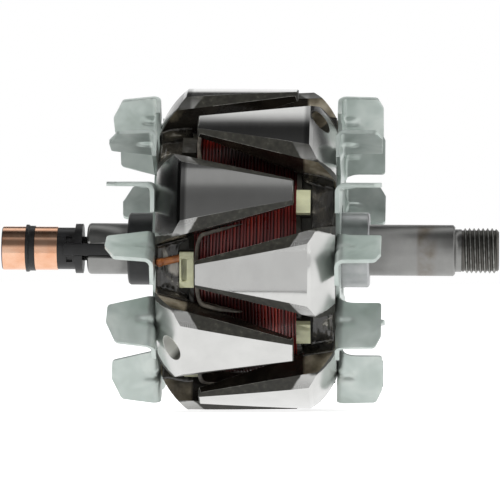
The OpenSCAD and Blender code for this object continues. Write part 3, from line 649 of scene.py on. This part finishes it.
def film_rows(valley, side, seed):
    """Points of one film: down the flank of a claw, over the valley floor and up the other flank."""
    rows = []
    for step in range(film_steps + 1):
        row = []
        for part in range(-film_parts, film_parts + 1):
            spread = part / film_parts
            start = film_past_lug if abs(spread) < 0.5 else film_inner
            z = start + (film_outer - start) * step / film_steps
            half_width = claw_tip_half_width + (z - claw_tip_station) * claw_slope + film_clearance
            foot = valley_radius
            for guess in range(4):
                foot_width = half_width - (drive_pole_top - foot) * math.tan(claw_draft)
                foot = math.sqrt(valley_radius ** 2 - foot_width ** 2)
            crease = noise.noise(Vector((spread * 3, step * 0.35, seed * 9.7)))
            fine = noise.noise(Vector((spread * 9, step * 0.9, seed * 4.1)))
            lift = (0.55 + 0.4 * crease + 0.05 * fine) * mm
            if abs(spread) <= 0.5:
                radius = valley_radius + lift
                angle = 2 * spread * (half_pitch - math.atan2(foot_width, foot))
            else:
                edge_wave = noise.noise(Vector((step * 0.09, math.copysign(3, spread), seed * 5.3)))
                rise = (abs(spread) - 0.5) * 2 * film_climb * (0.85 + 0.2 * edge_wave)
                reach = foot + rise * math.cos(claw_draft) + 0.3 * mm
                width = foot_width + rise * math.sin(claw_draft) + 0.5 * lift
                radius = math.hypot(reach, width)
                angle = math.copysign(half_pitch - math.atan2(width, reach), spread)
            row.append(around_shaft(side * z, radius, math.radians(valley) + angle))
        rows.append(row)
    return rows


def resin_soaked_film():
    """Film under brown varnish: smooth, glossy and nearly black, with a few light patches that are painted
    highlights.
    """
    patch_width = 6 * mm
    run_width = 2.2 * mm
    material, add, place = new_material("resin_soaked_film")
    patches = add("TexNoise", {
        "Vector": place, "Scale": 1 / patch_width, "Detail": 3, "Distortion": 0.8})
    runs = add("TexNoise", {"Vector": place, "Scale": 1 / run_width, "Detail": 2})
    # The lightest stop paints highlights on some patches, and a painted highlight lies at one set spot.
    soaked = add("ValToRGB", {"Fac": patches}, stops={
        0.35: "#171512", 0.55: "#33302a", 0.63: "#4c473d", 0.7: "#a8a498"})
    apart = add("VectorMath", {0: place, 1: film_highlight_spot}, operation="DISTANCE")
    near = add("MapRange", {"Value": apart, "From Min": 4 * mm, "From Max": 1 * mm})
    highlight_shape = add("Math", {0: runs, 1: 0.6, 2: near}, operation="MULTIPLY_ADD")
    spot = add("MapRange", {"Value": highlight_shape, "From Min": 0.7, "From Max": 1.1})
    colour = add("Mix", {0: spot, 6: soaked, 7: linear("#b9b4aa")}, data_type="RGBA")
    relief = add("Bump", {"Height": runs, "Strength": 0.2, "Distance": 0.4 * mm})
    surface = add("BsdfPrincipled", {
        "Base Color": colour, "Roughness": 0.24, "IOR": 1.55, "Normal": relief,
        "Coat Weight": 0.6, "Coat Roughness": 0.08})
    add("OutputMaterial", {"Surface": surface})
    return material


film = resin_soaked_film()
for node, first_valley, side in valleys:
    films = []
    for seed in range(claws):
        rows = film_rows(first_valley + claw_pitch * seed, side, seed)
        films.append(grid_mesh("film", rows, False))
    films_mesh = join_meshes(node + "_film", films)
    thicken(add_piece(node + "_film", films_mesh, film, "resin_soaked_film", node), film_gauge)

# Coil leads
# The coil's two ends in varnished brown sleeves, led from their lugs over the valley floor
# and in along grooves of the pole to the shaft.
lead_radius = 1.25 * mm
lead_sides = 20
lead_steps = 8
lead_route = [
    (42.2, -3.8, 20.6), (42, -3.6, 21.4), (41.5, -2.8, 24.5), (41.1, -2.2, 27), (40, -1.95, 27.95),
    (10.5, -1.9, 27.95)]


def lead_mesh(name, angle):
    """A sleeved wire along its route, which is given as radius, offset and station in millimetres."""
    turn = Matrix.Rotation(math.radians(angle), 3, "X")
    corners = [turn @ Vector((-station, radius, offset)) * mm for radius, offset, station in lead_route]
    path = []
    for step in range(len(corners) - 1):
        start, end = corners[step:step + 2]
        before = corners[max(step - 1, 0)]
        after = corners[min(step + 2, len(corners) - 1)]
        leave = start + (end - before) / 6
        arrive = end - (after - start) / 6
        path += interpolate_bezier(start, leave, arrive, end, lead_steps + 1)[:-1]
    path.append(corners[-1])
    rows = []
    side = Vector((1, 0, 0)).cross(path[1] - path[0]).normalized()
    for step, point in enumerate(path):
        ahead = (path[min(step + 1, len(path) - 1)] - path[max(step - 1, 0)]).normalized()
        up = ahead.cross(side).normalized()
        side = up.cross(ahead).normalized()
        ring = []
        for corner in range(lead_sides):
            around = math.tau * corner / lead_sides
            swell = 1 + 0.05 * noise.noise(Vector((step * 0.4, math.cos(around), math.sin(around))))
            ring.append(point + lead_radius * swell * (side * math.cos(around) + up * math.sin(around)))
        rows.append(ring)
    return grid_mesh(name, rows, True)


def varnished_sleeve():
    """Woven sleeve soaked with varnish: orange brown, half glossy, with a fine weave."""
    thread_width = 0.45 * mm
    soaked_patch = 3 * mm
    material, add, place = new_material("varnished_sleeve")
    weave = add("TexVoronoi", {"Vector": place, "Scale": 1 / thread_width})
    soak = add("TexNoise", {"Vector": place, "Scale": 1 / soaked_patch, "Detail": 3})
    colour = add("ValToRGB", {"Fac": soak}, stops={0.3: "#70391a", 0.7: "#b87238"})
    relief = add("Bump", {"Height": weave, "Strength": 0.4, "Distance": 0.1 * mm})
    surface = add("BsdfPrincipled", {
        "Base Color": colour, "Roughness": 0.4, "IOR": 1.5, "Normal": relief,
        "Coat Weight": 0.3, "Coat Roughness": 0.2})
    add("OutputMaterial", {"Surface": surface})
    return material


sleeve = varnished_sleeve()
for lead, angle in (("start_lead", 189), ("finish_lead", 9)):
    add_piece(lead + "_sleeve", lead_mesh(lead + "_sleeve", angle), sleeve, "varnished_sleeve", lead)

# Fans
# Two stamped sheet steel fans, zinc plated and passivated, welded to the poles' end faces.
# Each blade is bent up from its arm and stiffened by a dart pressed into the bend.
fan_sheet = 1.35 * mm
fan_face = 29.3 * mm
fan_bore_radius = 15 * mm
fan_hub_radius = 34 * mm
fan_hub_sides = 120
fan_radius = 52 * mm
arm_width = 9.7 * mm
arm_root = 8 * mm
bend_outer = 3 * mm
arm_steps = 9
bend_steps = 12
blade_steps = 26
blade_start_radius = 36 * mm
blade_sweep = math.radians(-13.3)
blade_start = Vector((math.cos(blade_sweep), math.sin(blade_sweep))) * blade_start_radius
blade_run = Vector((fan_radius, 0)) - blade_start
blade_chord = blade_run.length
blade_turn = math.atan2(blade_run.y, blade_run.x)
blade_corner = 0.9 * mm
blade_columns = 64
near_top = 14 * mm
slip_height = 16.2 * mm
slip_lean = 3.9 * mm
slip_rise = 0.3 * mm
slip_top_end = 10 * mm
slip_outer_drop = 3.3 * mm
slip_outer_lean = 1.7 * mm
drive_height = 15 * mm
drive_scoop = 2.6 * mm
drive_scoop_height = 5 * mm
drive_outer_drop = 2 * mm
drive_outer_run = 4.6 * mm
drive_outer_lean = 0.4 * mm
dart_depth = 0.7 * mm
dart_half_width = 2.2 * mm
dart_reach = 6.4 * mm


def share_of(amount, start, end):
    """How far an amount is from a start to an end, held between 0 and 1."""
    return min(max((amount - start) / (end - start), 0), 1)


def soft_step(amount):
    """Rises smoothly from 0 to 1."""
    amount = share_of(amount, 0, 1)
    return amount * amount * (3 - 2 * amount)


def slip_blade_edges(z):
    """Where a slip ring end blade starts and ends along its chord, at a height."""
    lean = z / (slip_height - slip_rise)
    outer_lean = z / (slip_height - slip_outer_drop)
    return slip_lean * lean, blade_chord - slip_outer_lean * outer_lean


def slip_blade_top(x):
    """Height of a slip ring end blade along its chord: a slight rise, then a cut outer corner."""
    if x < slip_top_end:
        return slip_height - slip_rise * (slip_top_end - x) / (slip_top_end - slip_lean)
    cut = (x - slip_top_end) / (blade_chord - slip_outer_lean - slip_top_end)
    return slip_height - slip_outer_drop * cut


def drive_blade_edges(z):
    """Where a drive end blade starts and ends along its chord, at a height."""
    scoop = 1 - share_of(z, fan_sheet, fan_sheet + drive_scoop_height)
    outer_lean = z / (drive_height - drive_outer_drop)
    return drive_scoop * math.sqrt(1 - scoop ** 2), blade_chord - drive_outer_lean * outer_lean


def drive_blade_top(x):
    """Height of a drive end blade along its chord: level, with a cut outer corner."""
    cut = share_of(x, blade_chord - drive_outer_run, blade_chord - drive_outer_lean)
    return drive_height - drive_outer_drop * cut


def sheet_path(top):
    """The sheet's middle from the arm's edge over the bend to the top: place, inward way, distance."""
    bend = bend_outer - fan_sheet / 2
    half_bend = bend * math.pi / 4
    path = []
    for step in range(arm_steps):
        y = arm_width + (bend_outer - arm_width) * step / arm_steps
        path.append((Vector((y, fan_sheet / 2)), Vector((0, 1)), half_bend + y - bend_outer))
    for step in range(bend_steps):
        angle = math.radians(270 - 90 * step / bend_steps)
        way = Vector((math.cos(angle), math.sin(angle)))
        spot = Vector((bend_outer, bend_outer)) + bend * way
        path.append((spot, -way, half_bend * abs(2 * step / bend_steps - 1)))
    for step in range(blade_steps + 1):
        z = bend_outer + (top - bend_outer) * step / blade_steps
        path.append((Vector((fan_sheet / 2, z)), Vector((1, 0)), half_bend + z - bend_outer))
    return path


def on_fan(x, y, z, angle, side):
    """A point of a blade, given along its chord, across it and over the pole's face."""
    spot = blade_start + Matrix.Rotation(blade_turn, 2) @ Vector((x, y))
    turned = Matrix.Rotation(math.radians(angle), 2) @ spot
    return Vector((side * (fan_face + z), turned.x, turned.y))


def blade_mesh(angle, side, edges, top):
    """One arm with its bend, dart and blade, as a sheet without thickness."""
    columns = []
    for step in range(blade_columns + 1):
        share = (1 - math.cos(math.pi * step / blade_columns)) / 2
        first, last = edges(near_top)
        x_top = first + (last - first) * share
        near = min(x_top - first, last - x_top, blade_corner)
        height = top(x_top) - blade_corner + math.sqrt(blade_corner ** 2 - (blade_corner - near) ** 2)
        column = []
        for spot, way, apart in sheet_path(height):
            first, last = edges(spot.y)
            x = first + (last - first) * share
            push = soft_step(1.15 * (1 - abs(x - blade_chord / 2) / dart_half_width))
            push *= soft_step(1.8 * (1 - apart / dart_reach)) * dart_depth
            bent = spot + way * push
            column.append(on_fan(x, bent.x, bent.y, angle, side))
        columns.append(column)
    return grid_mesh("blade", columns[::side], False)


def arm_mesh(angle, side, edges):
    """The arm's inner end, which lies on the fan's plain middle."""
    flat_part = sheet_path(drive_height)[:arm_steps + 1]
    columns = []
    for x in (-arm_root, -arm_root / 2, edges(fan_sheet / 2)[0]):
        columns.append([on_fan(x, spot.x, spot.y, angle, side) for spot, way, apart in flat_part])
    return grid_mesh("arm", columns[::side], False)


def hub_mesh(side):
    """The fan's plain middle, a ring of sheet just under the arms."""
    station = side * (fan_face + fan_sheet / 2 - 0.02 * mm)
    turns = [math.tau * step / fan_hub_sides for step in range(fan_hub_sides)]
    rows = []
    for radius in (fan_bore_radius, 20 * mm, 27 * mm, fan_hub_radius):
        rows.append([around_shaft(station, radius, turn) for turn in turns])
    return grid_mesh("hub", rows, True)


def zinc_plated_sheet():
    """Passivated zinc: satin, pale grey green, with soft cloudy tints."""
    cloud_width = 8 * mm
    haze_width = 4 * mm
    material, add, place = new_material("zinc_plated_sheet")
    clouds = add("TexNoise", {
        "Vector": place, "Scale": 1 / cloud_width, "Detail": 2, "Distortion": 0.4})
    haze = add("TexNoise", {"Vector": place, "Scale": 1 / haze_width, "Detail": 2})
    colour = add("ValToRGB", {"Fac": clouds}, stops={0.3: "#b6c1bb", 0.5: "#c6d0cb", 0.7: "#d6ded9"})
    gloss = add("MapRange", {
        "Value": haze, "From Min": 0.3, "From Max": 0.7, "To Min": 0.3, "To Max": 0.38})
    surface = add("BsdfPrincipled", {"Base Color": colour, "Metallic": 0.65, "Roughness": gloss})
    add("OutputMaterial", {"Surface": surface})
    return material


zinc = zinc_plated_sheet()
slip_blade_angles = [25, 55, 102, 131, 155.5, 183.5, 217.7, 262, 292, 330, 359]
drive_blade_angles = [24, 53, 102, 131, 155.5, 183.5, 217.7, 258, 290, 330, 359]
fans = (
    ("slip_ring_end_fan", -1, slip_blade_angles, slip_blade_edges, slip_blade_top),
    ("drive_end_fan", 1, drive_blade_angles, drive_blade_edges, drive_blade_top))
for node, side, angles, edges, top in fans:
    sheets = [hub_mesh(side)]
    for angle in angles:
        sheets += [blade_mesh(angle, side, edges, top), arm_mesh(angle, side, edges)]
    fan = add_piece(node + "_sheet", join_meshes(node + "_sheet", sheets), zinc, "zinc_plated_sheet", node)
    thicken(fan, fan_sheet)
    edge = fan.modifiers.new("rolled_edges", "BEVEL")
    edge.width = 0.15 * mm
    edge.segments = 2
    edge.limit_method = "ANGLE"
    edge.angle_limit = math.radians(50)
    fan.modifiers.new("even_shading", "WEIGHTED_NORMAL").keep_sharp = True

# Lead collar and spacer
# A black insulating collar holds the leads down at the slip ring end, and a plain turned
# steel spacer stands between the pole and the bearing at the drive end.


def black_moulding():
    """Black phenolic moulding: satin, dusty, with a fine mould grain."""
    dust_patch = 4 * mm
    mould_grain = 0.35 * mm
    material, add, place = new_material("black_moulding")
    dust = add("TexNoise", {"Vector": place, "Scale": 1 / dust_patch, "Detail": 5})
    grain = add("TexNoise", {"Vector": place, "Scale": 1 / mould_grain, "Detail": 2})
    colour = add("ValToRGB", {"Fac": dust}, stops={0.35: "#0c0c0d", 0.75: "#1a1a1c"})
    relief = add("Bump", {"Height": grain, "Strength": 0.15, "Distance": 0.05 * mm})
    surface = add("BsdfPrincipled", {
        "Base Color": colour, "Roughness": 0.4, "IOR": 1.55, "Normal": relief})
    add("OutputMaterial", {"Surface": surface})
    return material


def turned_steel():
    """Plain turned steel: dull grey with even tool lines around it."""
    line_width = 0.4 * mm
    tarnish_patch = 4 * mm
    material, add, place = new_material("turned_steel")
    along = add("VectorMath", {0: place, 1: lathe_stretch}, operation="MULTIPLY")
    lines = add("TexNoise", {"Vector": along, "Scale": 1 / line_width, "Detail": 2})
    tarnish = add("TexNoise", {"Vector": place, "Scale": 1 / tarnish_patch, "Detail": 4})
    colour = add("ValToRGB", {"Fac": tarnish}, stops={0.3: "#a6a8a9", 0.7: "#babcbc"})
    relief = add("Bump", {"Height": lines, "Strength": 0.15, "Distance": 0.03 * mm})
    surface = add("BsdfPrincipled", {
        "Base Color": colour, "Metallic": 1, "Roughness": 0.36, "Normal": relief})
    add("OutputMaterial", {"Surface": surface})
    return material


moulding = black_moulding()
soften_edges("lead_collar", 0.3 * mm)
dress("lead_collar", moulding)
soften_edges("drive_end_spacer", 0.2 * mm)
dress("drive_end_spacer", turned_steel())

# Slip rings
# Two copper rings in a black moulding with a divider and a flange, pressed onto the shaft's spigot.
# Insulated channels carry the leads to them through slots in the shaft.


def slip_ring_copper():
    """Turned copper: salmon pink and bright, with fine lines and a slight brown tarnish."""
    line_width = 0.3 * mm
    tarnish_patch = 5 * mm
    material, add, place = new_material("slip_ring_copper")
    along = add("VectorMath", {0: place, 1: lathe_stretch}, operation="MULTIPLY")
    lines = add("TexNoise", {"Vector": along, "Scale": 1 / line_width, "Detail": 2})
    tarnish = add("TexNoise", {"Vector": place, "Scale": 1 / tarnish_patch, "Detail": 4})
    colour = add("ValToRGB", {"Fac": tarnish}, stops={0.3: "#f0b592", 0.7: "#fccfb2"})
    gloss = add("MapRange", {
        "Value": lines, "From Min": 0.3, "From Max": 0.7, "To Min": 0.12, "To Max": 0.22})
    relief = add("Bump", {"Height": lines, "Strength": 0.06, "Distance": 0.02 * mm})
    surface = add("BsdfPrincipled", {
        "Base Color": colour, "Metallic": 1, "Roughness": gloss, "Normal": relief})
    add("OutputMaterial", {"Surface": surface})
    return material


copper = slip_ring_copper()
ring_pieces = (
    ("outer_slip_ring", 0.15 * mm, copper), ("inner_slip_ring", 0.15 * mm, copper),
    ("slip_ring_moulding", 0.6 * mm, moulding), ("front_lead_channel", 0.12 * mm, moulding),
    ("rear_lead_channel", 0.12 * mm, moulding))
for node, edge_round, material in ring_pieces:
    soften_edges(node, edge_round)
    dress(node, material)

# Studio
# A white sheet under the rotor, white all round, and dark flags in front of it that the metal
# mirrors as bands, as in a plain studio with its lamps overhead. A dark strip at the sheet's front
# edge, seen only in reflections, is a painted shadow of that edge.
floor_level = cad_low.z - 0.2 * mm
flag_level = floor_level + 0.1 * mm
floor_reach = 6
flag_reach = 2
flag_depth = 2.5
sheet_front = -0.12
sheet_edge_front = -0.124
wall_radius = 3
wall_reach = 4
wall_end = 160
# Brightness of the wall by degrees over the horizon, from in front of the rotor up and over it
wall_levels = {
    5: 0.7, 9: 0.45, 18: 0.15, 38: 0.125, 44: 0.15, 49: 0.36, 57: 0.38, 59: 0.09, 72: 0.09, 84: 0.04,
    97: 0.025, 102: 0.08, 109: 0.6, 114: 0.95, 128: 1, 134: 0.06, 152: 0.06, 157: 1}
horizon_level = 0.72


def lit_white(name, level):
    """White stage paint that reads as white to the camera and in reflections."""
    material, add = new_material(name)[:2]
    path = add("LightPath")
    seen = add("Math", {
        0: path.outputs["Is Camera Ray"], 1: path.outputs["Is Glossy Ray"]}, operation="ADD")
    seen_all = add("Math", {
        0: seen, 1: path.outputs["Is Transmission Ray"]}, operation="ADD", use_clamp=True)
    paint = add("BsdfDiffuse", {"Color": linear("#e8e8e8")})
    glow = add("Emission", {"Color": (1, 1, 1, 1), "Strength": level})
    lit = add("AddShader", {0: paint, 1: glow})
    mixed = add("MixShader", {0: seen_all, 1: paint, 2: lit})
    add("OutputMaterial", {"Surface": mixed})
    return material


def flag_paint(name, grey):
    """Evenly lit grey card."""
    material, add = new_material(name)[:2]
    glow = add("Emission", {"Color": (grey, grey, grey, 1), "Strength": 1})
    add("OutputMaterial", {"Surface": glow})
    return material


def wall_paint():
    """The room behind the camera, as bands of light and dark by their angle over the horizon."""
    material, add, place = new_material("room_paint")
    ahead = add("VectorMath", {0: place, 1: (1, -1, 1)}, operation="MULTIPLY")
    split = add("SeparateXYZ", {0: ahead})
    angle = add("Math", {0: split.outputs["Z"], 1: split.outputs["Y"]}, operation="ARCTAN2")
    share = add("MapRange", {"Value": angle, "From Max": math.radians(wall_end)})
    bands = add("ValToRGB", {"Fac": share})
    bands.color_ramp.elements[0].color = (horizon_level, horizon_level, horizon_level, 1)
    for degrees, level in wall_levels.items():
        bands.color_ramp.elements.new(degrees / wall_end).color = (level, level, level, 1)
    glow = add("Emission", {"Color": bands, "Strength": 1})
    add("OutputMaterial", {"Surface": glow})
    return material


def add_stage(name, rows, material):
    """A stage object over rows of points."""
    stand = bpy.data.objects.new(name, grid_mesh(name, rows, False))
    bpy.context.scene.collection.objects.link(stand)
    stand.data.materials.append(material)
    return stand


def add_flag(name, rows, material):
    """A card that only shows in reflections."""
    flag = add_stage(name, rows, material)
    flag.visible_camera = False
    flag.visible_diffuse = False
    flag.visible_transmission = False
    flag.visible_shadow = False


def flat_rows(reach, front, back, level):
    """Corners of a level sheet."""
    return [[Vector((x, y, level)) for x in (-reach, reach)] for y in (front, back)]


white_floor = flat_rows(floor_reach, -floor_reach, floor_reach, floor_level)
add_stage("white_floor", white_floor, lit_white("white_paper", 0.75))
wall_rows = []
for degrees in range(-1, wall_end + 2, 3):
    turn = math.radians(180 - degrees)
    wall_rows.append([around_shaft(x, wall_radius, turn) for x in (-wall_reach, wall_reach)])
add_flag("room_wall", wall_rows, wall_paint())
level_flags = (
    ("grey_table", -flag_depth, sheet_front, flag_level, 0.72),
    ("paper_sheet", sheet_front, flag_depth, flag_level, 1.06),
    # The dark strip at the sheet's edge is a painted shadow.
    ("sheet_edge", sheet_edge_front, sheet_front, flag_level + 0.1 * mm, 0.05))
for name, front, back, level, grey in level_flags:
    add_flag(name, flat_rows(flag_reach, front, back, level), flag_paint(name, grey))
door_rows = [[Vector((-1.2, y, z)) for y in (-0.9, 1.4)] for z in (0, 0.8)]
add_flag("dark_door", door_rows, flag_paint("dark_door", 0.012))

world = bpy.data.worlds.new("white_room")
bpy.context.scene.world = world
world.use_nodes = True
world.node_tree.nodes.clear()
add = partial(add_node, world.node_tree)
room_path = add("LightPath")
room_seen = add("Math", {
    0: room_path.outputs["Is Camera Ray"], 1: room_path.outputs["Is Glossy Ray"]}, operation="ADD")
room_level = add("MapRange", {"Value": room_seen, "To Min": 0.62, "To Max": 1})
room = add("Background", {"Color": (1, 1, 1, 1), "Strength": room_level})
add("OutputWorld", {"Surface": room})

lamp = bpy.data.lights.new("soft_lamp", "AREA")
lamp.shape = "RECTANGLE"
lamp.size = 1.2
lamp.size_y = 0.5
lamp.energy = 14
lamp_stand = bpy.data.objects.new("soft_lamp", lamp)
lamp_stand.location = (-0.3, -0.9, 1.3)
lamp_stand.rotation_euler = (-lamp_stand.location).to_track_quat("-Z", "Y").to_euler()
lamp_stand.visible_glossy = False
bpy.context.scene.collection.objects.link(lamp_stand)

# Camera
# A long lens level with the shaft, a little to the drive end's side, rolled by the small angle
# at which the rotor lies in the picture.
camera_distance = 1.65
camera_side_angle = math.radians(2.5)
camera_roll = math.radians(0.33)
picture_width = 166.7 * mm

camera = bpy.data.cameras.new("camera")
camera.sensor_width = 36
camera.lens = camera.sensor_width * camera_distance / picture_width
camera.clip_start = 0.1
camera.clip_end = 50
camera.shift_x = -0.001
camera.shift_y = -0.0012
camera_stand = bpy.data.objects.new("camera", camera)
camera_stand.location = (
    camera_distance * math.sin(camera_side_angle), -camera_distance * math.cos(camera_side_angle), 0)
aim = (-camera_stand.location).to_track_quat("-Z", "Y").to_matrix()
camera_stand.rotation_euler = (aim @ Matrix.Rotation(camera_roll, 3, "Z")).to_euler()
bpy.context.scene.collection.objects.link(camera_stand)
bpy.context.scene.camera = camera_stand
bpy.context.scene.view_settings.view_transform = "Standard"

bpy.context.view_layer.update()
